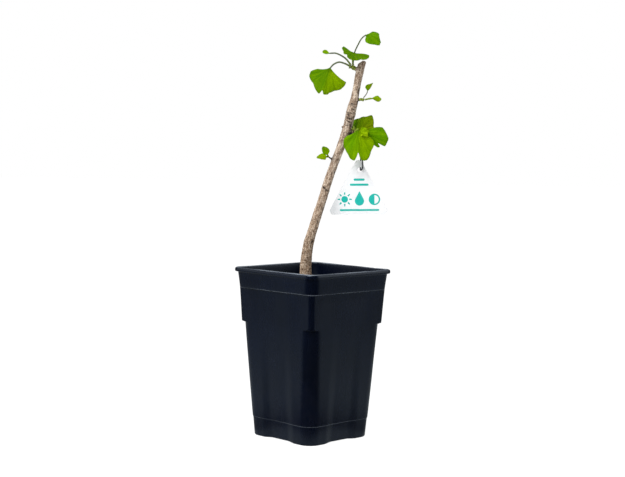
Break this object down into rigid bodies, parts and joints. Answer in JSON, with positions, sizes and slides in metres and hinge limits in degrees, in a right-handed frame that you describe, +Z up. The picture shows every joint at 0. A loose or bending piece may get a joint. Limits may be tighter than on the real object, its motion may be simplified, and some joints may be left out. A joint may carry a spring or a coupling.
{
  "type": "ginkgo bonsai",
  "caption": "Young ginkgo trained as a bonsai: a leaning bare trunk with a few fan-shaped leaves on short spurs, and a blank hanging tag, in a deep square plastic pot.",
  "frame": {"origin": "centre of the pot's base on the ground", "axes": "+Z up; the pot's four sides face +X, +Y, -X and -Y; the trunk leans towards the corner between +X and +Y"},
  "size_m": [0.105, 0.105, 0.3687],
  "materials": {
    "pot_plastic": "near-black moulded plastic with a soft sheen",
    "potting_mix": "dark crumbly potting mix, matt",
    "bark": "thin pinkish-tan bark with pale cork specks, rougher and browner near the foot",
    "shoot_green": "soft green shoot with bud scales",
    "leaf_green": "thin fresh green leaf, satin, lets light through",
    "tag_plastic": null,
    "wire_steel": "dull grey wire"
  },
  "bodies": {
    "root": {"pot": "pot_plastic", "soil": "potting_mix", "trunk": "bark", "top_shoot": "shoot_green", "middle_shoot": "shoot_green", "right_shoot": "shoot_green", "left_shoot": "shoot_green", "leaf_top_left": "leaf_green", "leaf_top_right": "leaf_green", "leaf_top_front": "leaf_green", "leaf_top_furled": "leaf_green", "leaf_right_fan": "leaf_green", "leaf_right_curled": "leaf_green", "leaf_middle_back": "leaf_green", "leaf_middle_right": "leaf_green", "leaf_middle_front": "leaf_green", "leaf_middle_young": "leaf_green", "leaf_left_upper": "leaf_green", "leaf_left_lower": "leaf_green", "tag": "tag_plastic", "tag_wire": "wire_steel"}
  },
  "joints": []
}
